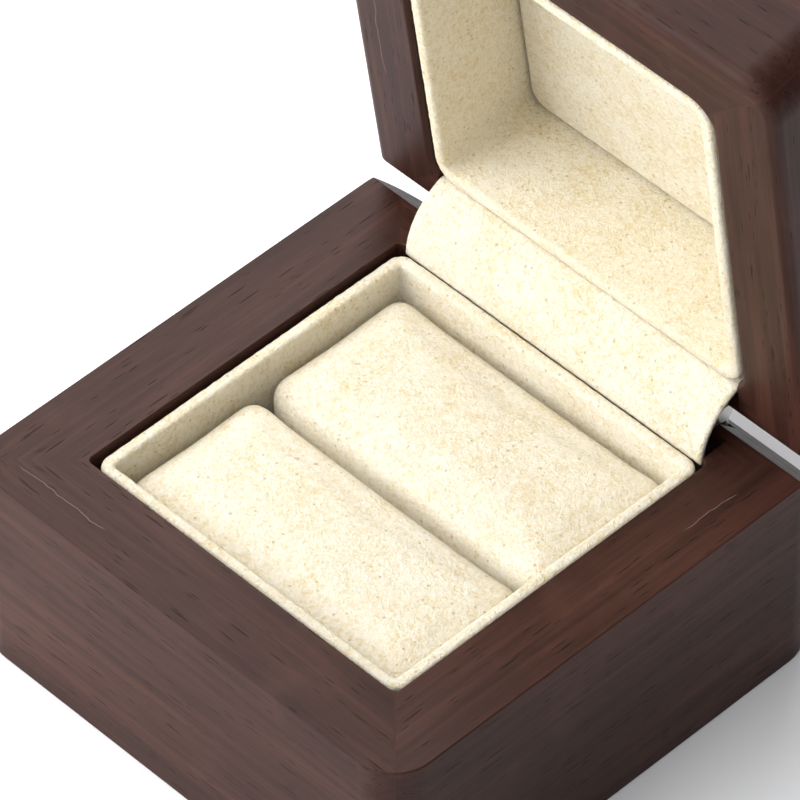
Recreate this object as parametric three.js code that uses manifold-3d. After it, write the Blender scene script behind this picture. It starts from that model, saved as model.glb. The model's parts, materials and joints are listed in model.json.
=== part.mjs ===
// A small wooden ring box, open. Two walnut shells are joined at the back by a sprung steel
// hinge. Each is lined with suede over card, the base holds two suede pads with a ring slot
// between them, and a curved suede flap on the lid hides the hinge from the front.
// Millimetres, +Z up, hinge at +Y. The origin is the centre of the base's underside.
// The lid is drawn closed and then turned open about the hinge.
import * as THREE from 'three';
import { mergeVertices } from 'three/addons/utils/BufferGeometryUtils.js';
import Module from 'manifold-3d';

const wasm = await Module();
wasm.setup();

// Outside of the wood
const BOX_SIDE = 55;
const BASE_HEIGHT = 23.2;
const LID_HEIGHT = 19;
const PARTING_GAP = 0.3;
const CORNER_RADIUS = 4.3;
const EDGE_RADIUS = 1;
const BASE_BACK_CHAMFER = 3.65;
const LID_BACK_CHAMFER = 4.3;

// Inside of the wood
const WALL = 7.85;
const BASE_FLOOR = 3;
const LID_CAVITY_DEPTH = 13.6;
const BASE_OPENING_RADIUS = 0.6;
const LID_OPENING_RADIUS = 2.8;
const LID_POCKET_DEPTH = 8;
const FLAP_SLOT_INSET = 0.7;
const CHEEK_WIDTH = 1.95;
const CHEEK_REACH = 2;
const CHEEK_DROP = 3.5;

// Lining: suede folded over a card wall
const SUEDE = 0.3;
const CARD = 0.5;
const GLUE_GAP = 0.1;
const LINING_CLEARANCE = 0.4;
const TRAY_RIM_DROP = 0.6;
const LID_RIM_DROP = 0.1;
const TRAY_CORNER_RADIUS = 1.5;
const LID_CORNER_RADIUS = 2.5;

// Pads and the panel in the lid
const FLOOR_CARD = 0.8;
const PAD_DROP = 1.6;
const PAD_CLEARANCE = 0.15;
const PAD_EDGE_RADIUS = 2;
const PAD_CORNER_RADIUS = 2.2;
const PAD_SUEDE = 0.4;
const SLOT_WIDTH = 0.8;
const SLOT_CENTRE_Y = -0.4;
const PANEL_CARD = 0.8;
const PANEL_FOAM = 1.5;
const PANEL_EDGE_RADIUS = 0.6;
const PANEL_CORNER_RADIUS = 2.2;

// Hinge
const OPEN_ANGLE = 81.6;
const HINGE_INSET = 2.65;
const HINGE_RISE = 0.42;
const LEAF_THICKNESS = 0.4;
const BED_GAP = 0.15;
const KNUCKLE_RADIUS = 1.05;
const KNUCKLE_COUNT = 5;
const KNUCKLE_GAP = 0.2;
const PIN_RADIUS = 0.55;
const PIN_CLEARANCE = 0.1;
const PIN_HEAD_RADIUS = 0.9;
const PIN_HEAD_LENGTH = 0.4;
const HINGE_END_GAP = 0.75;
const FLAP_CLEARANCE = 0.2;
const FLAP_THICKNESS = 0.4;
const FLAP_SIDE_GAP = 0.15;
const FLAP_TUCK_ANGLE = 14.1;
const FLAP_BULGE = 1.2;
const FLAP_TOP_OVERLAP = 3.4;
const SWEEP_CLEARANCE = 0.25;
const STOP_GAP = 0.16;
const COVER_SHORT_ANGLE = 4;
const SPRING_THICKNESS = 0.3;
const SPRING_WIDTH = 12;
const SPRING_CLEARANCE = 0.5;

// Hinge screws
const SCREW_SPACING = 20;
const SCREW_RADIUS = 0.6;
const SCREW_LENGTH = 5;
const SCREW_HEAD_RADIUS = 1.2;
const SCREW_HEAD_HEIGHT = 0.5;
const SCREW_CLEARANCE = 0.15;
const SCREW_HEAD_MARGIN = 0.2;

// Places that follow from the sizes
const HALF = BOX_SIDE / 2;
const OPENING_HALF = HALF - WALL;
const LINING_HALF = OPENING_HALF - LINING_CLEARANCE;
const LINING_WALL = 2 * SUEDE + CARD + 2 * GLUE_GAP;
const INSIDE_HALF = LINING_HALF - LINING_WALL;
const TRAY_RIM_Z = BASE_HEIGHT - TRAY_RIM_DROP;
const LID_PARTING_Z = BASE_HEIGHT + PARTING_GAP;
const LID_RIM_Z = LID_PARTING_Z + LID_RIM_DROP;
const LID_CEILING_Z = LID_PARTING_Z + LID_CAVITY_DEPTH;
const LID_TOP_Z = LID_PARTING_Z + LID_HEIGHT;
const HINGE_Y = HALF - HINGE_INSET;
const HINGE_Z = BASE_HEIGHT + HINGE_RISE;
const FLAP_SLOT_HALF = OPENING_HALF - FLAP_SLOT_INSET;
const FLAP_HALF = FLAP_SLOT_HALF - FLAP_SIDE_GAP;
const HINGE_SLOT_HALF = FLAP_SLOT_HALF - CHEEK_WIDTH;
const HINGE_HALF_WIDTH = HINGE_SLOT_HALF - HINGE_END_GAP;
const FLAP_RADIUS = HINGE_Y - LINING_HALF - FLAP_CLEARANCE;
const FLAP_SWEEP = OPEN_ANGLE + FLAP_TUCK_ANGLE;
const FLAP_MIDDLE_ANGLE = 180 + FLAP_SWEEP / 2;
const FLAP_HALF_CHORD = FLAP_RADIUS * Math.sin(radians(FLAP_SWEEP / 2));
const FLAP_CHORD_REACH = FLAP_RADIUS * Math.cos(radians(FLAP_SWEEP / 2));
const FLAP_FACE_RADIUS = (FLAP_HALF_CHORD ** 2 + FLAP_BULGE ** 2) / (2 * FLAP_BULGE);
const FLAP_HALF_ANGLE = Math.asin(FLAP_HALF_CHORD / FLAP_FACE_RADIUS) * 180 / Math.PI;
const FLAP_CENTRE_OFFSET = FLAP_FACE_RADIUS - FLAP_BULGE - FLAP_CHORD_REACH;
const FLAP_CENTRE_Y = HINGE_Y - FLAP_CENTRE_OFFSET * Math.cos(radians(FLAP_MIDDLE_ANGLE));
const FLAP_CENTRE_Z = HINGE_Z - FLAP_CENTRE_OFFSET * Math.sin(radians(FLAP_MIDDLE_ANGLE));
const COVER_INSET = FLAP_THICKNESS + FLAP_CLEARANCE;
const COVER_FRONT_Y = HINGE_Y - FLAP_RADIUS + COVER_INSET;
const LEAF_FACE_Y = HINGE_Y + FLAP_RADIUS * Math.sin(radians(FLAP_SWEEP - 90)) + FLAP_CLEARANCE;
const LEAF_BACK_Y = LEAF_FACE_Y + LEAF_THICKNESS;
const POCKET_BACK_Y = LEAF_BACK_Y + BED_GAP;
const STOP_REACH = LEAF_BACK_Y - HINGE_Y + STOP_GAP - (LEAF_FACE_Y - HINGE_Y) * Math.cos(radians(OPEN_ANGLE));
const LEAF_NOTCH = STOP_REACH / Math.sin(radians(OPEN_ANGLE));
const BASE_FOOT_Z = HINGE_Z - FLAP_RADIUS - SWEEP_CLEARANCE - SCREW_HEAD_HEIGHT - LEAF_THICKNESS;
const BASE_POCKET_Z = BASE_FOOT_Z - BED_GAP;
const LID_POCKET_Z = LID_PARTING_Z + LID_POCKET_DEPTH;
const LID_FOOT_Z = LID_POCKET_Z - BED_GAP;
const SCREW_Y = COVER_FRONT_Y + LEAF_THICKNESS + SCREW_HEAD_RADIUS + SCREW_HEAD_MARGIN;
const CHEEK_FRONT_Y = HINGE_Y - CHEEK_REACH;
const PAD_LOW_Z = BASE_FLOOR + GLUE_GAP + FLOOR_CARD + GLUE_GAP;
const PAD_TOP_Z = TRAY_RIM_Z - PAD_DROP;
const PANEL_FACE_Z = LID_CEILING_Z - 3 * GLUE_GAP - PANEL_CARD - PANEL_FOAM - SUEDE;

function radians(degrees) {
  return degrees * Math.PI / 180;
}

// Solids: closed meshes that can be joined and cut

function solidFrom(geometry) {
  geometry.deleteAttribute('normal');
  geometry.deleteAttribute('uv');
  const merged = mergeVertices(geometry, 1e-4);
  return new wasm.Manifold(new wasm.Mesh({
    numProp: 3,
    vertProperties: new Float32Array(merged.attributes.position.array),
    triVerts: new Uint32Array(merged.index.array),
  }));
}

function geometryFrom(solid) {
  const mesh = solid.getMesh();
  const geometry = new THREE.BufferGeometry();
  geometry.setAttribute('position', new THREE.BufferAttribute(new Float32Array(mesh.vertProperties), 3));
  geometry.setIndex(new THREE.BufferAttribute(new Uint32Array(mesh.triVerts), 1));
  geometry.computeVertexNormals();
  return geometry;
}

function joined(solids) {
  return solids.reduce((whole, next) => whole.add(next));
}

function cut(solid, tools) {
  return tools.reduce((whole, tool) => whole.subtract(tool), solid);
}

function block(low, high) {
  const size = high.map((value, axis) => value - low[axis]);
  const middle = high.map((value, axis) => (value + low[axis]) / 2);
  const geometry = new THREE.BoxGeometry(...size);
  geometry.translate(...middle);
  return solidFrom(geometry);
}

function roundedOutline(xHalf, yLow, yHigh, radius) {
  const shape = new THREE.Shape();
  shape.moveTo(-xHalf + radius, yLow);
  shape.lineTo(xHalf - radius, yLow);
  shape.absarc(xHalf - radius, yLow + radius, radius, -Math.PI / 2, 0);
  shape.lineTo(xHalf, yHigh - radius);
  shape.absarc(xHalf - radius, yHigh - radius, radius, 0, Math.PI / 2);
  shape.lineTo(-xHalf + radius, yHigh);
  shape.absarc(-xHalf + radius, yHigh - radius, radius, Math.PI / 2, Math.PI);
  shape.lineTo(-xHalf, yLow + radius);
  shape.absarc(-xHalf + radius, yLow + radius, radius, Math.PI, 1.5 * Math.PI);
  return shape;
}

// An upright prism with square edges.
function prism(shape, zLow, zHigh) {
  const geometry = new THREE.ExtrudeGeometry(shape, {
    depth: zHigh - zLow,
    bevelEnabled: false,
    curveSegments: 5,
  });
  geometry.translate(0, 0, zLow);
  return solidFrom(geometry);
}

// An upright prism whose top and bottom edges are rounded.
function softPrism(shape, zLow, zHigh, edge) {
  const geometry = new THREE.ExtrudeGeometry(shape, {
    depth: zHigh - zLow - 2 * edge,
    bevelEnabled: true,
    bevelThickness: edge,
    bevelSize: edge,
    bevelOffset: -edge,
    bevelSegments: 3,
    curveSegments: 5,
  });
  geometry.translate(0, 0, zLow + edge);
  return solidFrom(geometry);
}

// A prism along X from an outline drawn in Y and Z.
function bar(outline, xLow, xHigh) {
  const geometry = new THREE.ExtrudeGeometry(outline, {
    depth: xHigh - xLow,
    bevelEnabled: false,
    curveSegments: 14,
  });
  const alongX = new THREE.Matrix4().makeBasis(
    new THREE.Vector3(0, 1, 0),
    new THREE.Vector3(0, 0, 1),
    new THREE.Vector3(1, 0, 0),
  );
  geometry.applyMatrix4(alongX);
  geometry.translate(xLow, 0, 0);
  return solidFrom(geometry);
}

function polygon(points) {
  return new THREE.Shape(points.map(([y, z]) => new THREE.Vector2(y, z)));
}

// A stretch of curved sheet about a centre in Y and Z.
function arcStrip(centreY, centreZ, outerRadius, thickness, startDegrees, endDegrees) {
  const start = radians(startDegrees);
  const end = radians(endDegrees);
  const shape = new THREE.Shape();
  shape.absarc(centreY, centreZ, outerRadius, start, end, false);
  shape.absarc(centreY, centreZ, outerRadius - thickness, end, start, true);
  return shape;
}

// The curve of the flap or of the steel under it, which stops short of the flap's lower end.
function coverStrip(inset, thickness, shortDegrees) {
  const start = FLAP_MIDDLE_ANGLE - FLAP_HALF_ANGLE;
  const end = FLAP_MIDDLE_ANGLE + FLAP_HALF_ANGLE - shortDegrees;
  return arcStrip(FLAP_CENTRE_Y, FLAP_CENTRE_Z, FLAP_FACE_RADIUS - inset, thickness, start, end);
}

// A round bar about X on the hinge axis.
function axisBar(radius, xLow, xHigh) {
  const geometry = new THREE.CylinderGeometry(radius, radius, xHigh - xLow, 16);
  geometry.rotateZ(Math.PI / 2);
  geometry.translate((xLow + xHigh) / 2, HINGE_Y, HINGE_Z);
  return solidFrom(geometry);
}

function add(group, name, solid, colour, roughness, metalness = 0) {
  const material = new THREE.MeshStandardMaterial({ color: colour, roughness, metalness });
  const mesh = new THREE.Mesh(geometryFrom(solid), material);
  mesh.name = name;
  group.add(mesh);
}

const WOOD = 0x5c4840;
const CREAM = 0xf3e7c9;
const CARD_GREY = 0xb9a98c;
const FOAM = 0xe9e4d6;
const STEEL = 0xb8babd;

// Wood shells

// A wedge that takes the back edge off a shell; rise is +1 above the parting face, -1 below.
function backWedge(partingZ, chamfer, rise) {
  const over = 2 * EDGE_RADIUS;
  const outline = polygon([
    [HALF + over, partingZ - rise * over],
    [HALF - chamfer - over, partingZ - rise * over],
    [HALF + over, partingZ + rise * (chamfer + over)],
  ]);
  return bar(outline, -HALF - 1, HALF + 1);
}

function pilotHoles(zLow, zHigh) {
  return [-1, 1].map((side) => {
    const radius = SCREW_RADIUS + SCREW_CLEARANCE;
    const geometry = new THREE.CylinderGeometry(radius, radius, zHigh - zLow, 12);
    geometry.rotateX(Math.PI / 2);
    geometry.translate(side * SCREW_SPACING / 2, SCREW_Y, (zLow + zHigh) / 2);
    return solidFrom(geometry);
  });
}

// The slot for the flap, and behind it a narrower one for the hinge between two wooden cheeks.
function hingeSlots(zLow, zHigh) {
  return [
    block([-FLAP_SLOT_HALF, 0, zLow], [FLAP_SLOT_HALF, CHEEK_FRONT_Y, zHigh]),
    block([-HINGE_SLOT_HALF, 0, zLow], [HINGE_SLOT_HALF, POCKET_BACK_Y, zHigh]),
  ];
}

function baseShell() {
  const outline = roundedOutline(HALF, -HALF, HALF, CORNER_RADIUS);
  const opening = roundedOutline(OPENING_HALF, -OPENING_HALF, OPENING_HALF, BASE_OPENING_RADIUS);
  const undercutHigh = [FLAP_SLOT_HALF, POCKET_BACK_Y, HINGE_Z - CHEEK_DROP];
  const pilotLow = BASE_POCKET_Z - SCREW_LENGTH - SCREW_CLEARANCE;
  return cut(softPrism(outline, 0, BASE_HEIGHT, EDGE_RADIUS), [
    prism(opening, BASE_FLOOR, BASE_HEIGHT + 1),
    ...hingeSlots(BASE_POCKET_Z, BASE_HEIGHT + 1),
    block([-FLAP_SLOT_HALF, 0, BASE_POCKET_Z], undercutHigh),
    backWedge(BASE_HEIGHT, BASE_BACK_CHAMFER, -1),
    ...pilotHoles(pilotLow, BASE_POCKET_Z + 1),
  ]);
}

function lidShell() {
  const outline = roundedOutline(HALF, -HALF, HALF, CORNER_RADIUS);
  const opening = roundedOutline(OPENING_HALF, -OPENING_HALF, OPENING_HALF, LID_OPENING_RADIUS);
  const pilotHigh = LID_POCKET_Z + SCREW_LENGTH + SCREW_CLEARANCE;
  return cut(softPrism(outline, LID_PARTING_Z, LID_TOP_Z, EDGE_RADIUS), [
    prism(opening, LID_PARTING_Z - 1, LID_CEILING_Z),
    ...hingeSlots(LID_PARTING_Z - 1, LID_POCKET_Z),
    backWedge(LID_PARTING_Z, LID_BACK_CHAMFER, 1),
    ...pilotHoles(LID_POCKET_Z - 1, pilotHigh),
  ]);
}

// Linings: a ring of suede folded over a ring of card

function ringOutline(outerHalf, thickness, cornerRadius) {
  const innerHalf = outerHalf - thickness;
  const innerRadius = Math.max(cornerRadius - thickness, 0.2);
  const shape = roundedOutline(outerHalf, -outerHalf, outerHalf, cornerRadius);
  shape.holes.push(roundedOutline(innerHalf, -innerHalf, innerHalf, innerRadius));
  return shape;
}

function cardRing(cornerRadius, zLow, zHigh) {
  const inset = SUEDE + GLUE_GAP;
  return prism(ringOutline(LINING_HALF - inset, CARD, cornerRadius - inset), zLow, zHigh);
}

function suedeRing(cornerRadius, zLow, zHigh, cardSlot) {
  const slot = ringOutline(LINING_HALF - SUEDE, CARD + 2 * GLUE_GAP, cornerRadius - SUEDE);
  const ring = prism(ringOutline(LINING_HALF, LINING_WALL, cornerRadius), zLow, zHigh);
  return cut(ring, [prism(slot, ...cardSlot)]);
}

// Pads: foam under a suede cover that is open underneath

function paddedBlock(xHalf, yLow, yHigh, zLow, zHigh, edge, corner) {
  const outline = roundedOutline(xHalf, yLow, yHigh, corner);
  const below = zLow - 2 * edge;
  const trim = block([-xHalf - 1, yLow - 1, below - 1], [xHalf + 1, yHigh + 1, zLow]);
  return cut(softPrism(outline, below, zHigh, edge), [trim]);
}

function padFoam(yLow, yHigh) {
  const inset = PAD_SUEDE + PAD_CLEARANCE;
  const xHalf = INSIDE_HALF - PAD_CLEARANCE - inset;
  const top = PAD_TOP_Z - inset;
  const edge = PAD_EDGE_RADIUS - inset;
  return paddedBlock(xHalf, yLow + inset, yHigh - inset, PAD_LOW_Z, top, edge, PAD_CORNER_RADIUS - inset);
}

function padSuede(yLow, yHigh) {
  const xHalf = INSIDE_HALF - PAD_CLEARANCE;
  const outer = paddedBlock(xHalf, yLow, yHigh, PAD_LOW_Z, PAD_TOP_Z, PAD_EDGE_RADIUS, PAD_CORNER_RADIUS);
  const top = PAD_TOP_Z - PAD_SUEDE;
  const edge = PAD_EDGE_RADIUS - PAD_SUEDE;
  const corner = PAD_CORNER_RADIUS - PAD_SUEDE;
  const insideLow = yLow + PAD_SUEDE;
  const insideHigh = yHigh - PAD_SUEDE;
  const inside = paddedBlock(xHalf - PAD_SUEDE, insideLow, insideHigh, PAD_LOW_Z - 1, top, edge, corner);
  return cut(outer, [inside]);
}

// The lid's panel: suede over foam on a card, its face towards the ring

function panelSlab(inset, zLow, zHigh) {
  const half = INSIDE_HALF - PAD_CLEARANCE - inset;
  return prism(roundedOutline(half, -half, half, PANEL_CORNER_RADIUS - inset), zLow, zHigh);
}

function panelSuede() {
  const half = INSIDE_HALF - PAD_CLEARANCE;
  const outline = roundedOutline(half, -half, half, PANEL_CORNER_RADIUS);
  const high = LID_CEILING_Z - GLUE_GAP;
  const slab = softPrism(outline, PANEL_FACE_Z, high + 2 * PANEL_EDGE_RADIUS, PANEL_EDGE_RADIUS);
  const trim = block([-HALF, -HALF, high], [HALF, HALF, high + 4 * PANEL_EDGE_RADIUS]);
  return cut(slab, [trim, panelSlab(SUEDE, PANEL_FACE_Z + SUEDE, high + 1)]);
}

// Hinge

// Knuckle number index, counted from the left end of the hinge.
function knuckleRange(index) {
  const length = (2 * HINGE_HALF_WIDTH - (KNUCKLE_COUNT - 1) * KNUCKLE_GAP) / KNUCKLE_COUNT;
  const low = -HINGE_HALF_WIDTH + index * (length + KNUCKLE_GAP);
  return [low, low + length];
}

// A leaf's knuckles with the tongues that join them to its plate; rise is +1 above the axis, -1 below.
// The open lid stops where the edge of each plate meets the other leaf's tongues.
function knuckles(first, rise) {
  const root = HINGE_Z + rise * (LEAF_NOTCH + LEAF_THICKNESS);
  const solids = [];
  for (let index = first; index < KNUCKLE_COUNT; index += 2) {
    const [low, high] = knuckleRange(index);
    solids.push(axisBar(KNUCKLE_RADIUS, low, high));
    const tongueLow = [low, LEAF_FACE_Y, Math.min(HINGE_Z, root)];
    solids.push(block(tongueLow, [high, LEAF_BACK_Y, Math.max(HINGE_Z, root)]));
  }
  return joined(solids);
}

function leafHoles(zLow, zHigh) {
  return pilotHoles(zLow - 1, zHigh + 1);
}

function pinHole() {
  return axisBar(PIN_RADIUS + PIN_CLEARANCE, -HINGE_HALF_WIDTH - 1, HINGE_HALF_WIDTH + 1);
}

function baseLeaf() {
  const width = HINGE_HALF_WIDTH;
  const footFront = COVER_FRONT_Y + LEAF_THICKNESS;
  const footTop = BASE_FOOT_Z + LEAF_THICKNESS;
  const plateTop = HINGE_Z - LEAF_NOTCH;
  const foot = block([-width, footFront, BASE_FOOT_Z], [width, LEAF_BACK_Y, footTop]);
  const plate = block([-width, LEAF_FACE_Y, BASE_FOOT_Z], [width, LEAF_BACK_Y, plateTop]);
  return cut(joined([foot, plate, knuckles(0, -1)]), [pinHole(), ...leafHoles(BASE_FOOT_Z, footTop)]);
}

function lidLeaf() {
  const width = HINGE_HALF_WIDTH;
  const frontY = COVER_FRONT_Y;
  const footLow = LID_FOOT_Z - LEAF_THICKNESS;
  const foot = block([-width, frontY, footLow], [width, LEAF_BACK_Y, LID_FOOT_Z]);
  const plate = block([-width, LEAF_FACE_Y, HINGE_Z + LEAF_NOTCH], [width, LEAF_BACK_Y, LID_FOOT_Z]);
  const flange = block([-width, frontY, HINGE_Z], [width, frontY + LEAF_THICKNESS, LID_FOOT_Z]);
  const cover = bar(coverStrip(COVER_INSET, LEAF_THICKNESS, COVER_SHORT_ANGLE), -width, width);
  const leaf = joined([foot, plate, flange, cover, knuckles(1, 1)]);
  return cut(leaf, [pinHole(), ...leafHoles(footLow, LID_FOOT_Z)]);
}

function flapSuede() {
  const frontY = HINGE_Y - FLAP_RADIUS;
  const top = LID_RIM_Z + FLAP_TOP_OVERLAP;
  const low = HINGE_Z - FLAP_THICKNESS / 2;
  const upright = block([-FLAP_HALF, frontY, low], [FLAP_HALF, frontY + FLAP_THICKNESS, top]);
  const curve = bar(coverStrip(0, FLAP_THICKNESS, 0), -FLAP_HALF, FLAP_HALF);
  return joined([upright, curve]);
}

function hingePin() {
  const half = HINGE_HALF_WIDTH + KNUCKLE_GAP;
  const end = half + PIN_HEAD_LENGTH;
  const profile = [[0, -end], [PIN_HEAD_RADIUS, -end], [PIN_HEAD_RADIUS, -half], [PIN_RADIUS, -half],
    [PIN_RADIUS, half], [PIN_HEAD_RADIUS, half], [PIN_HEAD_RADIUS, end], [0, end]];
  const geometry = new THREE.LatheGeometry(profile.map(([r, x]) => new THREE.Vector2(r, x)), 16);
  geometry.rotateZ(-Math.PI / 2);
  geometry.translate(0, HINGE_Y, HINGE_Z);
  return solidFrom(geometry);
}

// A bent strip that leans on the base leaf and presses on the inside of the curved cover.
function snapSpring() {
  const radius = FLAP_CHORD_REACH + FLAP_BULGE - COVER_INSET - LEAF_THICKNESS - SPRING_CLEARANCE;
  const endDegrees = 262;
  const strip = arcStrip(HINGE_Y, HINGE_Z, radius, SPRING_THICKNESS, 195, endDegrees);
  const curve = bar(strip, -SPRING_WIDTH / 2, SPRING_WIDTH / 2);
  const heelY = HINGE_Y + radius * Math.cos(radians(endDegrees));
  const heelZ = HINGE_Z + radius * Math.sin(radians(endDegrees));
  const heel = block(
    [-SPRING_WIDTH / 2, heelY - SPRING_THICKNESS, heelZ],
    [SPRING_WIDTH / 2, LEAF_FACE_Y - FLAP_CLEARANCE, heelZ + SPRING_THICKNESS],
  );
  return joined([curve, heel]);
}

// A screw at the origin, its head's seat at z = 0 and its point downwards.
function screw() {
  const tip = SCREW_LENGTH - SCREW_RADIUS;
  const profile = [[0, -SCREW_LENGTH], [SCREW_RADIUS, -tip], [SCREW_RADIUS, 0], [SCREW_HEAD_RADIUS, 0],
    [SCREW_HEAD_RADIUS * 0.75, SCREW_HEAD_HEIGHT], [0, SCREW_HEAD_HEIGHT]];
  const geometry = new THREE.LatheGeometry(profile.map(([r, z]) => new THREE.Vector2(r, z)), 12);
  geometry.rotateX(Math.PI / 2);
  return geometry;
}

function placedScrew(side, seatZ, pointsUp) {
  const geometry = screw();
  if (pointsUp) {
    geometry.rotateX(Math.PI);
  }
  geometry.translate(side * SCREW_SPACING / 2, SCREW_Y, seatZ);
  return solidFrom(geometry);
}

// The base, with everything that stays still

const box = new THREE.Group();
const seatGap = BED_GAP / 3;
const frontPad = [-INSIDE_HALF + PAD_CLEARANCE, SLOT_CENTRE_Y - SLOT_WIDTH / 2];
const rearPad = [SLOT_CENTRE_Y + SLOT_WIDTH / 2, INSIDE_HALF - PAD_CLEARANCE];
const trayFoot = BASE_FLOOR + GLUE_GAP;
const trayCardTop = TRAY_RIM_Z - SUEDE - GLUE_GAP;

add(box, 'base_shell', baseShell(), WOOD, 0.5);
add(box, 'tray_card', cardRing(TRAY_CORNER_RADIUS, trayFoot, trayCardTop), CARD_GREY, 0.9);
add(box, 'tray_suede',
  suedeRing(TRAY_CORNER_RADIUS, trayFoot, TRAY_RIM_Z, [trayFoot - 1, TRAY_RIM_Z - SUEDE]), CREAM, 1);
add(box, 'tray_floor_card', prism(
  roundedOutline(INSIDE_HALF - PAD_CLEARANCE, -INSIDE_HALF + PAD_CLEARANCE, INSIDE_HALF - PAD_CLEARANCE, SUEDE),
  trayFoot, trayFoot + FLOOR_CARD,
), CARD_GREY, 0.9);
add(box, 'front_pad_foam', padFoam(...frontPad), FOAM, 1);
add(box, 'front_pad_suede', padSuede(...frontPad), CREAM, 1);
add(box, 'rear_pad_foam', padFoam(...rearPad), FOAM, 1);
add(box, 'rear_pad_suede', padSuede(...rearPad), CREAM, 1);
add(box, 'hinge_base_leaf', baseLeaf(), STEEL, 0.35, 0.9);
add(box, 'hinge_pin', hingePin(), STEEL, 0.3, 0.9);
add(box, 'snap_spring', snapSpring(), STEEL, 0.3, 0.9);
const baseSeat = BASE_FOOT_Z + LEAF_THICKNESS + seatGap;
add(box, 'base_screw_left', placedScrew(-1, baseSeat, false), STEEL, 0.35, 0.9);
add(box, 'base_screw_right', placedScrew(1, baseSeat, false), STEEL, 0.35, 0.9);

// The lid, drawn closed in its own group and turned open about the hinge

const lid = new THREE.Group();
lid.position.set(0, HINGE_Y, HINGE_Z);
lid.rotation.x = radians(-OPEN_ANGLE);
const closedLid = new THREE.Group();
closedLid.position.set(0, -HINGE_Y, -HINGE_Z);
lid.add(closedLid);
box.add(lid);

const liningTop = LID_CEILING_Z - GLUE_GAP;
const lidCardLow = LID_RIM_Z + SUEDE + GLUE_GAP;
const foamLow = PANEL_FACE_Z + SUEDE + GLUE_GAP;
const panelCardLow = foamLow + PANEL_FOAM + GLUE_GAP;
const panelInset = SUEDE + GLUE_GAP;

add(closedLid, 'lid_shell', lidShell(), WOOD, 0.5);
add(closedLid, 'lid_card', cardRing(LID_CORNER_RADIUS, lidCardLow, liningTop), CARD_GREY, 0.9);
add(closedLid, 'lid_suede',
  suedeRing(LID_CORNER_RADIUS, LID_RIM_Z, liningTop, [LID_RIM_Z + SUEDE, liningTop + 1]), CREAM, 1);
add(closedLid, 'panel_suede', panelSuede(), CREAM, 1);
add(closedLid, 'panel_foam', panelSlab(panelInset, foamLow, foamLow + PANEL_FOAM), FOAM, 1);
add(closedLid, 'panel_card', panelSlab(panelInset, panelCardLow, panelCardLow + PANEL_CARD), CARD_GREY, 0.9);
add(closedLid, 'hinge_lid_leaf', lidLeaf(), STEEL, 0.35, 0.9);
add(closedLid, 'flap_suede', flapSuede(), CREAM, 1);
const lidSeat = LID_FOOT_Z - LEAF_THICKNESS - seatGap;
add(closedLid, 'lid_screw_left', placedScrew(-1, lidSeat, true), STEEL, 0.35, 0.9);
add(closedLid, 'lid_screw_right', placedScrew(1, lidSeat, true), STEEL, 0.35, 0.9);

export default box;
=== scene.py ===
import json
import math

import bmesh
import bpy
from mathutils import Matrix, Vector, noise


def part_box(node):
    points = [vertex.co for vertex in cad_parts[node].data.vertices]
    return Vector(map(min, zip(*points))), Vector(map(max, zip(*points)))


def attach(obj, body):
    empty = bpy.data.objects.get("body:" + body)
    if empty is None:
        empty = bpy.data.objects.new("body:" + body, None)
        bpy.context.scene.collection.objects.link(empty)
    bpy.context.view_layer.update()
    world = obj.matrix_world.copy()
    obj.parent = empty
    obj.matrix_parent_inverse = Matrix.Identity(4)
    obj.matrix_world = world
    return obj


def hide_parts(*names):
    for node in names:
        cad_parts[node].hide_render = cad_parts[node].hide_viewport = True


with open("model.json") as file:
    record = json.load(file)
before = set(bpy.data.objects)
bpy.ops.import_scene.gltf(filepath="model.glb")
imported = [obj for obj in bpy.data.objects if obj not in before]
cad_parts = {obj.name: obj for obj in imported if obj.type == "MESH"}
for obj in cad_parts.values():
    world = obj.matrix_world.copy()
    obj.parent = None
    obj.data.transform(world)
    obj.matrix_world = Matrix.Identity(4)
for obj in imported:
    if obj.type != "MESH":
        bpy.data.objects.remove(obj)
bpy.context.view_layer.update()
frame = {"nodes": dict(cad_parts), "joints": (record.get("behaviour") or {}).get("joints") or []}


# Wood shells. The base and the lid are each milled from a block of dark stained walnut with
# rounded corners. Each is hollowed for its lining and pocketed at the back for the hinge, and
# the back edge is bevelled so that the lid swings clear. The edges are sanded soft.
MM = 0.001
WOOD_CORNER = 4.3 * MM
WOOD_EDGE = 1.25 * MM
OPENING_EDGE = 0.6 * MM
SANDED_EDGE = 0.8 * MM
OPENING_HALF = 19.65 * MM
POCKET_BACK = 26.136 * MM
FLAP_SLOT_HALF = 18.95 * MM
HINGE_SLOT_HALF = 17.0 * MM
CHEEK_FRONT = 22.85 * MM
hinge = frame["joints"][0]
hinge_point = Vector(hinge["pos_m"])
open_angle = math.radians(hinge["range_deg"][1])
shut_to_open = (
    Matrix.Translation(hinge_point)
    @ Matrix.Rotation(-open_angle, 4, "X")
    @ Matrix.Translation(-hinge_point)
)
open_to_shut = shut_to_open.inverted()


def shut_box(node):
    """The lowest and highest corner of a lid part with the lid shut."""
    places = [open_to_shut @ v.co for v in frame["nodes"][node].data.vertices]
    return Vector(map(min, zip(*places))), Vector(map(max, zip(*places)))


def block(low, high, corner=0, segments=8):
    """A closed block with rounded upright edges, as a bmesh."""
    made = bmesh.new()
    bmesh.ops.create_cube(made, size=1)
    size = Vector(high) - Vector(low)
    bmesh.ops.scale(made, vec=size, verts=made.verts)
    bmesh.ops.translate(made, vec=(Vector(low) + Vector(high)) / 2, verts=made.verts)
    if corner:
        upright = [e for e in made.edges if abs(e.verts[0].co.z - e.verts[1].co.z) > size.z / 2]
        bmesh.ops.bevel(
            made, geom=upright, offset=corner, offset_type="OFFSET", affect="EDGES",
            segments=segments, profile=0.5, material=-1,
        )
    return made


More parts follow.
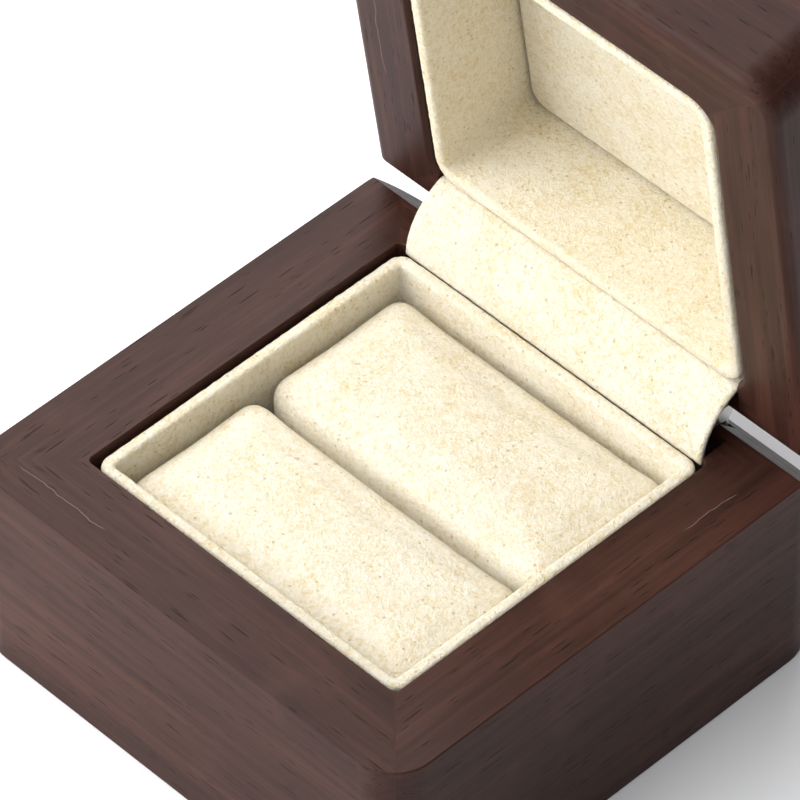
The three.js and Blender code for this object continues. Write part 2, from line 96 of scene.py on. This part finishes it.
def new_object(name, made):
    """An object at the origin from a bmesh, which is used up."""
    mesh = bpy.data.meshes.new(name)
    made.to_mesh(mesh)
    made.free()
    thing = bpy.data.objects.new(name, mesh)
    bpy.context.scene.collection.objects.link(thing)
    return thing


def settle(thing):
    """Gives the object the mesh that its modifiers make, and removes them."""
    bpy.context.view_layer.update()
    evaluated = thing.evaluated_get(bpy.context.evaluated_depsgraph_get())
    mesh = bpy.data.meshes.new_from_object(evaluated)
    thing.modifiers.clear()
    old = thing.data
    thing.data = mesh
    bpy.data.meshes.remove(old)
    return thing


def hollow(thing, cutter_mesh):
    """Takes the cutter's shape out of the object."""
    cutter = new_object("cutter", cutter_mesh)
    cut = thing.modifiers.new("cut", "BOOLEAN")
    cut.operation = "DIFFERENCE"
    cut.solver = "EXACT"
    cut.object = cutter
    settle(thing)
    bpy.data.objects.remove(cutter)


def wood_half(name, half, height, cavity, pocket, opening_corner, chamfer, undercut=None):
    """One half of the box with its parting face at z = 0 and its outer face below."""
    made = block((-half, -half, -height), (half, half, 0), WOOD_CORNER, 12)
    cut = bmesh.ops.bisect_plane(
        made, geom=made.verts[:] + made.edges[:] + made.faces[:],
        plane_co=(0, half - chamfer, 0), plane_no=(0, 1, 1), clear_outer=True,
    )
    bmesh.ops.contextual_create(made, geom=[e for e in cut["geom_cut"] if isinstance(e, bmesh.types.BMEdge)])
    bmesh.ops.recalc_face_normals(made, faces=made.faces)
    thing = new_object(name, made)
    opening_low = (-OPENING_HALF, -OPENING_HALF, -cavity)
    hollow(thing, block(opening_low, (OPENING_HALF, OPENING_HALF, MM), opening_corner))

    made = bmesh.new()
    made.from_mesh(thing.data)
    bmesh.ops.remove_doubles(made, verts=made.verts, dist=0.001 * MM)
    bmesh.ops.dissolve_limit(made, angle_limit=math.radians(0.2), verts=made.verts, edges=made.edges)
    weight = made.edges.layers.float.new("bevel_weight_edge")
    for edge in made.edges:
        if edge.is_boundary or edge.calc_face_angle(0) < math.radians(25):
            continue
        middle = (edge.verts[0].co + edge.verts[1].co) / 2
        reach = max(abs(middle.x), abs(middle.y))
        on_parting = all(abs(v.co.z) < 0.01 * MM for v in edge.verts)
        on_outside = all(abs(v.co.z + height) < 0.01 * MM for v in edge.verts)
        at_rim = reach > half - 0.1 * MM - WOOD_CORNER * 0.3
        clear_of_chamfer = middle.y < half - chamfer - 0.01 * MM
        if on_outside or (on_parting and at_rim and clear_of_chamfer):
            edge[weight] = 1
        elif on_parting and reach < OPENING_HALF + 0.01 * MM:
            edge[weight] = OPENING_EDGE / WOOD_EDGE
        elif middle.y > half - chamfer - 0.01 * MM and middle.z > -chamfer - 0.01 * MM:
            edge[weight] = SANDED_EDGE / WOOD_EDGE
    made.to_mesh(thing.data)
    made.free()
    soften = thing.modifiers.new("soften", "BEVEL")
    soften.width = WOOD_EDGE
    soften.segments = 6
    soften.limit_method = "WEIGHT"
    settle(thing)
    hollow(thing, block((-FLAP_SLOT_HALF, 0, -pocket), (FLAP_SLOT_HALF, CHEEK_FRONT, MM)))
    hollow(thing, block((-HINGE_SLOT_HALF, 0, -pocket), (HINGE_SLOT_HALF, POCKET_BACK, MM)))
    if undercut:
        hollow(thing, block((-FLAP_SLOT_HALF, 0, -pocket), (FLAP_SLOT_HALF, POCKET_BACK, -undercut)))
    thing.data.shade_smooth()
    thing.data.set_sharp_from_angle(angle=math.radians(38))
    flatten = thing.modifiers.new("flatten", "WEIGHTED_NORMAL")
    flatten.keep_sharp = True
    return thing


base_low, base_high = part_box("base_shell")
lid_low, lid_high = shut_box("lid_shell")
lid_height = lid_high.z - lid_low.z
wood_base = wood_half(
    "wood_base", base_high.x, base_high.z, base_high.z - 3 * MM, base_high.z - 16.92 * MM, 0.6 * MM, 3.65 * MM,
    undercut=base_high.z - 20.12 * MM,
)
wood_base.data.transform(Matrix.Translation((0, 0, base_high.z)))
wood_lid = wood_half(
    "wood_lid", lid_high.x, lid_height, 13.6 * MM, 8 * MM, 2.8 * MM, 4.3 * MM,
)
wood_lid.data.transform(Matrix.Diagonal((1, 1, -1, 1)))
wood_lid.data.flip_normals()
wood_lid.data.transform(shut_to_open @ Matrix.Translation((0, 0, lid_low.z)))


class Link:
    """A shader value or vector. Sums and products of links add Math nodes to the material."""

    def __init__(self, tree, socket):
        self.tree = tree
        self.socket = socket

    def node(self, kind, inputs=None, out=0, stops=None, **settings):
        """Adds a node: its settings first, then its ramp's stops, then its inputs."""
        made = self.tree.nodes.new(kind)
        for key, value in settings.items():
            setattr(made, key, value)
        if stops:
            ramp = made.color_ramp
            while len(ramp.elements) < len(stops):
                ramp.elements.new(0.5)
            for element, (place, colour) in zip(ramp.elements, stops):
                element.position = place
                element.color = (*colour, 1) if hasattr(colour, "__len__") else (colour, colour, colour, 1)
        for key, value in (inputs or {}).items():
            if isinstance(value, Link):
                self.tree.links.new(value.socket, made.inputs[key])
            else:
                made.inputs[key].default_value = value
        return Link(self.tree, made.outputs[out])

    def math(self, operation, *values):
        return self.node("ShaderNodeMath", dict(enumerate(values)), operation=operation)

    def __add__(self, other):
        return self.math("ADD", self, other)

    __radd__ = __add__

    def __sub__(self, other):
        return self.math("SUBTRACT", self, other)

    def __rsub__(self, other):
        return self.math("SUBTRACT", other, self)

    def __mul__(self, other):
        return self.math("MULTIPLY", self, other)

    __rmul__ = __mul__

    def __truediv__(self, other):
        return self.math("DIVIDE", self, other)

    def __lt__(self, other):
        return self.math("LESS_THAN", self, other)

    def __gt__(self, other):
        return self.math("GREATER_THAN", self, other)

    def between(self, low, high):
        """0 below low, 1 above high, and smooth between; high may be the lower one."""
        return self.node(
            "ShaderNodeMapRange",
            {"Value": self, "From Min": low, "From Max": high},
            interpolation_type="SMOOTHSTEP",
        )

    def mix(self, first, second):
        """The first colour where this value is 0, and the second where it is 1."""
        colours = [(*c, 1) if isinstance(c, tuple) and len(c) == 3 else c for c in (first, second)]
        return self.node("ShaderNodeMix", {0: self, 6: colours[0], 7: colours[1]}, out=2, data_type="RGBA")

    def stretched(self, x, y, z):
        """This place, in metres, in cells that are x, y and z millimetres long."""
        scale = (1 / (x * MM), 1 / (y * MM), 1 / (z * MM))
        return self.node("ShaderNodeVectorMath", {0: self, 1: scale}, operation="MULTIPLY")

    def clouds(self, detail=2, rough=0.5, distortion=0, w=0):
        """Soft noise from 0 to 1 at this place."""
        inputs = {"Vector": self, "Scale": 1, "Detail": detail, "Roughness": rough}
        inputs.update({"Distortion": distortion, "W": w})
        return self.node("ShaderNodeTexNoise", inputs, noise_dimensions="4D")

    def part(self, axis):
        return self.node("ShaderNodeSeparateXYZ", {0: self}, out="XYZ".index(axis))


def new_material(name):
    """A material, the place on the object as a link, and a way to set the finish."""
    made = bpy.data.materials.new(name)
    made.use_nodes = True
    tree = made.node_tree
    shader = tree.nodes["Principled BSDF"]
    place = Link(tree, tree.nodes.new("ShaderNodeTexCoord").outputs["Object"])

    def finish(**values):
        for key, value in values.items():
            socket = shader.inputs[key.replace("_", " ").title().replace("Ior", "IOR")]
            if isinstance(value, Link):
                tree.links.new(value.socket, socket)
            else:
                socket.default_value = value

    return made, place, finish


def bump(height, distance, strength=1.0, under=None):
    """A surface normal from a height between 0 and 1 that stands for that many metres."""
    inputs = {"Height": height, "Distance": distance, "Strength": strength}
    if under:
        inputs["Normal"] = under
    return height.node("ShaderNodeBump", inputs)


def walnut(name, seed, outside_z, parting_z, cracks, shut=None):
    """Stained walnut. The grain runs along each side of the frame, and along X on the outside face."""
    made, place, finish = new_material(name)
    if shut:
        place = place.node(
            "ShaderNodeMapping",
            {"Vector": place, "Location": shut.to_translation(), "Rotation": shut.to_euler()},
            vector_type="POINT",
        )
    x, y, z = (place.part(axis) for axis in "XYZ")
    on_sides = (x.math("ABSOLUTE", x) - y.math("ABSOLUTE", y)).between(-0.15 * MM, 0.15 * MM)
    inside = (z - outside_z).math("ABSOLUTE", z - outside_z).between(0.5 * MM, 1.1 * MM)
    turned = place.node("ShaderNodeCombineXYZ", {0: y, 1: x, 2: z})
    along = place.node("ShaderNodeMix", {0: on_sides * inside, 4: place, 5: turned}, out=1, data_type="VECTOR")

    wave = along.stretched(30, 6, 6).clouds(2, 0.5, 0, seed)
    streak = along.stretched(34, 1.1, 1.1).clouds(4, 0.62, 0.4, seed + 1)
    fine = along.stretched(7, 0.20, 0.20).clouds(3, 0.6, 0, seed + 2)
    speck = place.stretched(0.16, 0.16, 0.16).clouds(2, 0.6, 0, seed + 3)
    tone = 0.38 * wave + 0.42 * streak + 0.20 * fine
    colour = tone.node(
        "ShaderNodeValToRGB", {0: tone},
        stops=[
            (0.32, (0.017, 0.0060, 0.0042)),
            (0.48, (0.037, 0.0135, 0.0093)),
            (0.66, (0.075, 0.029, 0.0205)),
        ],
    )
    pores = None
    for length, width, shift in ((5.0, 0.32, 0.0), (2.6, 0.22, 7.3)):
        cell = along.stretched(length, width, width)
        cell = cell.node("ShaderNodeVectorMath", {0: cell, 1: (shift, shift, shift)}, operation="ADD")
        shape = cell.node("ShaderNodeTexVoronoi", {"Vector": cell, "Scale": 1}, feature="F1")
        choice = cell.node("ShaderNodeTexVoronoi", {"Vector": cell, "Scale": 1}, out=1, feature="F1").part("X")
        dash = shape.between(0.30, 0.18) * choice.between(0.80, 0.86)
        pores = dash if pores is None else pores.math("MAXIMUM", pores, dash)
    colour = (pores * 0.72).mix(colour, (0.005, 0.003, 0.003))
    rubbed = place.stretched(9, 9, 9).clouds(3, 0.6, 0, seed + 4)
    colour = (rubbed.between(0.52, 0.75) * 0.25).mix(colour, (0.095, 0.042, 0.031))
    wander = place.stretched(2.5, 2.5, 2.5).clouds(2, 0.6, 0, seed + 5)
    depth = (z - parting_z).math("ABSOLUTE", z - parting_z).between(0.6 * MM, 0.3 * MM)
    for run, off, across, start, end in ((*{"X": (x, y), "Y": (y, x)}[c[0]], *c[1:]) for c in cracks):
        gap = off - across * MM + (wander - 0.5) * (0.9 * MM)
        line = gap.math("ABSOLUTE", gap).between(0.08 * MM, 0.02 * MM) * depth
        split = line * run.between(start * MM, (start + 1) * MM) * run.between(end * MM, (end - 1) * MM)
        colour = (split * 0.55).mix(colour, (0.22, 0.16, 0.14))
        pores = pores.math("MAXIMUM", pores, split)
    height = 0.35 * fine + 0.45 * speck + 0.2 * streak - 1.0 * pores
    finish(
        base_color=colour,
        roughness=0.40 + 0.16 * speck + 0.15 * pores,
        specular_ior_level=0.12,
        coat_weight=0.06,
        coat_roughness=0.30,
        normal=bump(height, 0.05 * MM, 0.6),
    )
    return made


base_cracks = (("X", -24.4, -23.6, -12.0), ("Y", 23.9, 12.0, 19.0))
base_walnut = walnut("base_walnut", 3.0, 0.0, base_high.z, base_cracks)
lid_walnut = walnut("lid_walnut", 11.0, lid_high.z, lid_low.z, (("Y", -24.3, -14.0, 9.0),), open_to_shut)
for thing, body, node, material in (
    (wood_base, "base", "base_shell", base_walnut),
    (wood_lid, "lid", "lid_shell", lid_walnut),
):
    thing.data.materials.clear()
    thing.data.materials.append(material)
    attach(thing, body)
    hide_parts(node)


# Suede linings. A strip of cream microfibre suede is folded over a wall of card and glued, with
# the rounded fold upwards, and the ring is dropped into the wood. The nap is fuzzy at the folds.
SUEDE = 0.3 * MM
LINING_ROUND = 0.42 * MM


def slice_up(made, axis, low, high, step):
    """Cuts the mesh across an axis at even steps, for a finer surface."""
    count = max(1, round((high - low) / step))
    normal = Vector([float(a == axis) for a in "XYZ"])
    for index in range(1, count):
        bmesh.ops.bisect_plane(
            made, geom=made.verts[:] + made.edges[:] + made.faces[:],
            plane_co=normal * (low + (high - low) * index / count), plane_no=normal,
        )


def nap(made, amount, size, seed):
    """Roughens a surface along its normals by up to that many metres."""
    made.normal_update()
    moves = []
    for v in made.verts:
        here = v.co / size + Vector((seed, seed, seed))
        moves.append(v.normal * amount * (noise.noise(here) + 0.5 * noise.noise(here * 2.3)))
    for v, move in zip(made.verts, moves):
        v.co += move


def lining(name, outer, thickness, corner, foot, rim):
    """A folded strip round a card wall: two walls and the round fold between them, open at the foot."""
    made = block((-outer, -outer, foot), (outer, outer, rim), corner, 8)
    top = [f for f in made.faces if f.normal.z > 0.9]
    bmesh.ops.inset_region(made, faces=top, thickness=thickness, use_even_offset=True)
    made.normal_update()
    sides = [f for f in made.faces if f.normal.z > 0.9]
    middle = min(sides, key=lambda f: f.calc_center_median().xy.length)
    down = bmesh.ops.extrude_face_region(made, geom=[middle])
    low = [v for v in down["geom"] if isinstance(v, bmesh.types.BMVert)]
    bmesh.ops.translate(made, vec=(0, 0, foot - rim), verts=low)
    floors = [f for f in made.faces if all(abs(v.co.z - foot) < 1e-7 for v in f.verts)]
    bmesh.ops.delete(made, geom=list({*floors, *([middle] if middle.is_valid else [])}), context="FACES")
    bmesh.ops.recalc_face_normals(made, faces=made.faces)
    made.normal_update()
    fold = [e for e in made.edges if not e.is_boundary and e.calc_face_angle(0) > 1.2
            and all(abs(v.co.z - rim) < 1e-7 for v in e.verts)]
    bmesh.ops.bevel(
        made, geom=fold, offset=LINING_ROUND, offset_type="OFFSET", affect="EDGES",
        segments=4, profile=0.5, material=-1,
    )
    straight = outer - corner
    slice_up(made, "X", -straight, straight, 0.45 * MM)
    slice_up(made, "Y", -straight, straight, 0.45 * MM)
    slice_up(made, "Z", rim - 2.4 * MM, rim, 0.4 * MM)
    slice_up(made, "Z", foot, rim, 2.5 * MM)
    bmesh.ops.remove_doubles(made, verts=made.verts, dist=0.002 * MM)
    bmesh.ops.recalc_face_normals(made, faces=made.faces)
    return made


def suede(name, seed, tint=(1, 1, 1)):
    """Short, dense microfibre nap: cream, speckled, paler at the tips of the fibres."""
    made, place, finish = new_material(name)
    hand = place.stretched(5, 5, 5).clouds(2, 0.5, 0.3, seed)
    mottle = place.stretched(0.9, 0.9, 0.9).clouds(3, 0.6, 0.6, seed + 1)
    fibre = place.stretched(0.17, 0.17, 0.17).clouds(3, 0.7, 1.2, seed + 2)
    pile = place.stretched(0.42, 0.42, 0.42).clouds(2, 0.6, 0.8, seed + 3)
    tone = 0.15 * hand + 0.2 * mottle + 0.3 * fibre + 0.35 * pile
    low, high = (0.80, 0.655, 0.37), (0.97, 0.915, 0.78)
    # The tint scales the whole colour. The lid's lining uses it for painted shade: a little darker and warmer
    # than the base's suede.
    colour = tone.between(0.36, 0.56).mix(
        tuple(a * b for a, b in zip(low, tint)), tuple(a * b for a, b in zip(high, tint)),
    )
    cell = place.stretched(0.75, 0.75, 0.75)
    spot = cell.node("ShaderNodeTexVoronoi", {"Vector": cell, "Scale": 1}, feature="F1")
    choice = cell.node("ShaderNodeTexVoronoi", {"Vector": cell, "Scale": 1}, out=1, feature="F1").part("X")
    fleck = spot.between(0.26, 0.12) * choice.between(0.72, 0.80)
    colour = (fleck * 0.5).mix(colour, (0.38, 0.27, 0.13))
    height = 0.5 * fibre + 0.6 * pile + 0.3 * mottle
    finish(
        base_color=colour,
        roughness=0.95,
        specular_ior_level=0.1,
        sheen_weight=0.25,
        sheen_roughness=0.5,
        sheen_tint=(1.0, 0.97, 0.88, 1),
        normal=bump(height, 0.42 * MM, 1.0),
    )
    return made


cream_suede = suede("cream_suede", 1.0)
# The lid's copy of the same suede is tinted a little darker and warmer. This is painted shade, for the dimmer,
# warmer light inside the open lid.
lid_suede = suede("lid_suede", 5.0, (0.985, 0.975, 0.94))
tray_low, tray_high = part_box("tray_suede")
lining_low, lining_high = shut_box("lid_suede")
LINING_WALL = 1.3 * MM
TRAY_LEAN = 0.2 * MM
for name, outer, corner, foot, rim, body, node, card, material in (
    (
        "tray_lining", tray_high.x, 1.6 * MM, tray_low.z, tray_high.z,
        "base", "tray_suede", "tray_card", cream_suede,
    ),
    (
        "lid_lining", lining_high.x, 2.5 * MM, -lining_high.z, -lining_low.z,
        "lid", "lid_suede", "lid_card", lid_suede,
    ),
):
    made = lining(name, outer, LINING_WALL, corner, foot, rim)
    if body == "base":
        for v in made.verts:
            v.co.y += max(v.co.y / outer, 0) * TRAY_LEAN
    nap(made, 0.05 * MM, 0.35 * MM, 7)
    thing = new_object(name, made)
    if body == "lid":
        thing.data.transform(Matrix.Diagonal((1, 1, -1, 1)))
        thing.data.flip_normals()
        thing.data.transform(shut_to_open)
    thing.data.shade_smooth()
    thick = thing.modifiers.new("thickness", "SOLIDIFY")
    thick.thickness = SUEDE
    thick.offset = -1
    thing.data.materials.append(material)
    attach(thing, body)
    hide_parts(node)
    girth = 8 * outer - 4 * LINING_WALL
    2 * (rim - foot) + LINING_WALL


# Pads. Two blocks of soft foam covered in the same suede fill the tray, and the ring is pushed
# down between them. The suede is drawn round the foam and glued underneath, so the tops are
# crowned and the long edges at the slot roll over.
PAD_EDGE = 1.9 * MM
SIM_SCALE = 20


def pad_form(low, high, corner, edge, step):
    """A closed block with rolled top edges, cut fine."""
    made = block(low, high, corner, 6)
    made.normal_update()
    rolled = [e for e in made.edges if all(abs(v.co.z - high[2]) < 1e-7 for v in e.verts)]
    bmesh.ops.bevel(
        made, geom=rolled, offset=edge, offset_type="OFFSET", affect="EDGES",
        segments=6, profile=0.5, material=-1,
    )
    for number, axis in enumerate("XYZ"):
        slice_up(made, axis, low[number], high[number], step)
    return made


def plump(thing, low, high, cap):
    """Blows the cover up by cloth pressure, by less than the cap, and keeps it inside its place."""
    grow = Matrix.Scale(SIM_SCALE, 4)
    thing.data.transform(grow)
    remesh = thing.modifiers.new("remesh", "REMESH")
    remesh.mode = "VOXEL"
    remesh.voxel_size = 0.55 * MM * SIM_SCALE
    settle(thing)
    start = [v.co.copy() for v in thing.data.vertices]
    held = thing.vertex_groups.new(name="glued")
    seat = low[2] * SIM_SCALE
    glued = [v.index for v in thing.data.vertices if v.co.z < seat + 2.5 * MM * SIM_SCALE]
    held.add(glued, 1, "REPLACE")
    cloth = thing.modifiers.new("cloth", "CLOTH")
    cloth.settings.quality = 6
    cloth.settings.use_pressure = True
    cloth.settings.uniform_pressure_force = 2.5
    cloth.settings.vertex_group_mass = "glued"
    cloth.settings.effector_weights.gravity = 0
    cloth.point_cache.frame_start = 1
    cloth.point_cache.frame_end = 20
    scene = bpy.context.scene
    for number in range(1, 21):
        scene.frame_set(number)
    settle(thing)
    scene.frame_set(1)
    for vertex, first in zip(thing.data.vertices, start):
        move = vertex.co - first
        vertex.co = first + move * (cap * SIM_SCALE / (cap * SIM_SCALE + move.length))
    thing.data.transform(Matrix.Scale(1 / SIM_SCALE, 4))
    for vertex in thing.data.vertices:
        vertex.co = [min(max(place, least), most) for place, least, most in zip(vertex.co, low, high)]
    return thing


def crowned(thing, low, high, crown):
    for vertex in thing.data.vertices:
        u = (vertex.co.x - (low[0] + high[0]) / 2) / ((high[0] - low[0]) / 2)
        v = (vertex.co.y - (low[1] + high[1]) / 2) / ((high[1] - low[1]) / 2)
        share = (vertex.co.z - low[2]) / (high[2] - low[2])
        vertex.co.z -= crown * share * (1 - (1 - u ** 4) * (1 - abs(v) ** 2.4))
    return thing


for name, cover, foam in (
    ("front_pad", "front_pad_suede", "front_pad_foam"),
    ("rear_pad", "rear_pad_suede", "rear_pad_foam"),
):
    low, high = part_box(cover)
    shy = Vector((0.12, 0.10, 0)) * MM
    small_high = Vector((high.x - shy.x, high.y - shy.y, high.z - 0.5 * MM))
    small_low = Vector((low.x + shy.x, low.y + shy.y, low.z))
    pad = new_object(name, pad_form(small_low, small_high, 2.0 * MM, PAD_EDGE, 1.2 * MM))
    plump(pad, low, high, 0.5 * MM)
    made = bmesh.new()
    made.from_mesh(pad.data)
    bmesh.ops.smooth_vert(made, verts=made.verts, factor=0.5, use_axis_x=True, use_axis_y=True, use_axis_z=True)
    made.to_mesh(pad.data)
    made.free()
    pad.data.shade_smooth()
    finer = pad.modifiers.new("finer", "SUBSURF")
    finer.levels = finer.render_levels = 1
    pad.data.materials.clear()
    pad.data.materials.append(cream_suede)
    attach(pad, "base")
    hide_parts(cover, foam)


# Lid panel. A card with thin foam on it and suede drawn over both, pressed into the lid against
# the wood. Its face is softly crowned, and its edges and corners are rolled.
panel_low, panel_high = shut_box("panel_suede")
panel_back = shut_box("panel_card")[0].z - 0.05 * MM
PANEL_EDGE = 1.0 * MM
panel_form_low = (panel_low.x, panel_low.y, -panel_back)
panel_form_high = (panel_high.x, panel_high.y, -panel_low.z)
made = pad_form(panel_form_low, panel_form_high, 2.2 * MM, PANEL_EDGE, 0.9 * MM)
lid_panel = new_object("lid_panel", made)
crowned(lid_panel, panel_form_low, panel_form_high, 0.35 * MM)
lid_panel.data.transform(Matrix.Diagonal((1, 1, -1, 1)))
lid_panel.data.flip_normals()
lid_panel.data.transform(shut_to_open)
lid_panel.data.shade_smooth()
finer = lid_panel.modifiers.new("finer", "SUBSURF")
finer.levels = finer.render_levels = 1
lid_panel.data.materials.append(lid_suede)
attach(lid_panel, "lid")
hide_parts("panel_suede", "panel_foam")


# Hinge flap. A strip of the same suede is glued to the curved steel of the lid leaf. It hides the
# hinge from the front, and when the lid is shut it turns down behind the tray.
flap_low, flap_high = shut_box("flap_suede")
FLAP_THICK = 0.4 * MM
FLAP_SWEEP = 67.6
flap_centre = hinge_point + Vector((0, 1.647, 1.820)) * MM
made = bmesh.new()
start = made.verts.new((flap_low.x, flap_low.y, flap_high.z))
line = [start, made.verts.new((flap_low.x, flap_low.y, hinge_point.z))]
edges = [made.edges.new(line)]
bmesh.ops.spin(
    made, geom=[line[1]], cent=flap_centre, axis=(1, 0, 0), dvec=(0, 0, 0),
    angle=math.radians(FLAP_SWEEP), steps=36, use_merge=False,
)
bmesh.ops.remove_doubles(made, verts=made.verts, dist=0.001 * MM)
drawn = bmesh.ops.extrude_edge_only(made, edges=made.edges[:])
far_side = [v for v in drawn["geom"] if isinstance(v, bmesh.types.BMVert)]
bmesh.ops.translate(made, vec=(flap_high.x - flap_low.x, 0, 0), verts=far_side)
slice_up(made, "X", flap_low.x, flap_high.x, 0.45 * MM)
slice_up(made, "Z", hinge_point.z, flap_high.z, 0.45 * MM)
bmesh.ops.recalc_face_normals(made, faces=made.faces)
made.normal_update()
front = max(made.faces, key=lambda f: f.calc_center_median().z)
if front.normal.y > 0:
    bmesh.ops.reverse_faces(made, faces=made.faces)
nap(made, 0.05 * MM, 0.4 * MM, 3)
flap = new_object("hinge_flap", made)
flap.data.transform(shut_to_open)
flap.data.shade_smooth()
thick = flap.modifiers.new("thickness", "SOLIDIFY")
thick.thickness = FLAP_THICK
thick.offset = -1
flap.data.materials.append(cream_suede)
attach(flap, "lid")
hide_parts("flap_suede")


# Hinge steel. Two pressed leaves of thin plated sheet turn on a wire pin, each held to the wood
# by two screws, with a bent spring strip inside that snaps the lid open and shut.
def steel():
    made, place, finish = new_material("hinge_steel")
    drawn = place.stretched(9, 0.12, 0.12).clouds(3, 0.6, 0, 2.0)
    haze = place.stretched(3, 3, 3).clouds(3, 0.6, 0, 4.0)
    tone = 0.6 * drawn + 0.4 * haze
    colour = tone.between(0.3, 0.7).mix((0.50, 0.49, 0.48), (0.68, 0.67, 0.65))
    finish(
        base_color=colour,
        metallic=1.0,
        roughness=0.26 + 0.2 * haze,
        normal=bump(drawn, 0.01 * MM, 0.4),
    )
    return made


plated_steel = steel()
for node in (
    "hinge_base_leaf", "hinge_lid_leaf", "hinge_pin", "snap_spring",
    "base_screw_left", "base_screw_right", "lid_screw_left", "lid_screw_right",
):
    part = frame["nodes"][node]
    part.data.materials.clear()
    part.data.materials.append(plated_steel)


# Card. The stiff grey board inside the linings, under the pads and behind the lid's panel.
def board():
    made, place, finish = new_material("grey_board")
    pulp = place.stretched(0.8, 0.25, 0.25).clouds(4, 0.7, 0.5, 1.0)
    blot = place.stretched(2.5, 2.5, 2.5).clouds(2, 0.5, 0, 6.0)
    colour = (0.7 * pulp + 0.3 * blot).between(0.3, 0.7).mix((0.36, 0.31, 0.24), (0.55, 0.49, 0.39))
    finish(base_color=colour, roughness=0.9, specular_ior_level=0.2, normal=bump(pulp, 0.05 * MM, 0.6))
    return made


grey_board = board()
for node in ("tray_card", "lid_card", "tray_floor_card", "panel_card"):
    part = frame["nodes"][node]
    part.data.materials.clear()
    part.data.materials.append(grey_board)


# Room. A plain white sweep under soft studio light, brightest from the left, with the camera
# looking down on the open box from its front right.
def floor_paint():
    made, place, finish = new_material("floor_white")
    mottle = place.stretched(60, 60, 60).clouds(2, 0.5, 0, 0.0)
    colour = mottle.mix((0.86, 0.87, 0.90), (0.88, 0.89, 0.915))
    finish(base_color=colour, roughness=0.7, specular_ior_level=0.2)
    return made


made = bmesh.new()
bmesh.ops.create_grid(made, x_segments=2, y_segments=2, size=1.5)
floor = new_object("floor", made)
floor.data.materials.append(floor_paint())

scene = bpy.context.scene
world = bpy.data.worlds.new("studio")
scene.world = world
world.use_nodes = True
world.node_tree.nodes["Background"].inputs[0].default_value = (0.90, 0.95, 1.0, 1)
world.node_tree.nodes["Background"].inputs[1].default_value = 0.14

aim = Vector((0, 0, 22.6 * MM))


def softbox(name, place, size, power, colour=(1, 1, 1)):
    light = bpy.data.lights.new(name, "AREA")
    light.shape = "RECTANGLE"
    light.size, light.size_y = size
    light.energy = power
    light.color = colour
    lamp = bpy.data.objects.new(name, light)
    scene.collection.objects.link(lamp)
    lamp.location = place
    lamp.rotation_euler = (Vector(place) - aim).to_track_quat("Z", "Y").to_euler()


softbox("key", (-0.85, -1.05, 0.55), (1.5, 1.2), 28)
softbox("top", (-0.25, -0.35, 1.35), (1.4, 1.2), 17, (1.0, 0.985, 0.95))
softbox("back", (-0.95, 0.85, 1.15), (1.0, 0.8), 17, (1.0, 0.97, 0.96))
softbox("fill", (0.75, -1.0, 0.9), (1.2, 1.2), 4.5)

view_from = Vector((
    math.sin(math.radians(45.416)) * math.cos(math.radians(46.659)),
    -math.cos(math.radians(45.416)) * math.cos(math.radians(46.659)),
    math.sin(math.radians(46.659)),
))
camera = bpy.data.objects.new("camera", bpy.data.cameras.new("camera"))
scene.collection.objects.link(camera)
scene.camera = camera
camera.data.lens = 360
camera.data.sensor_width = 36
camera.data.clip_end = 10
camera.location = aim + view_from * 716.7 * MM
turn = (-view_from).to_track_quat("-Z", "Y")
right, up = turn @ Vector((1, 0, 0)), turn @ Vector((0, 1, 0))
look = aim + (400 - 397.344) / 8000 * 0.7167 * right - (400 - 465.925) / 8000 * 0.7167 * up
camera.rotation_euler = (camera.location - look).to_track_quat("Z", "Y").to_euler()

scene.view_settings.view_transform = "Standard"
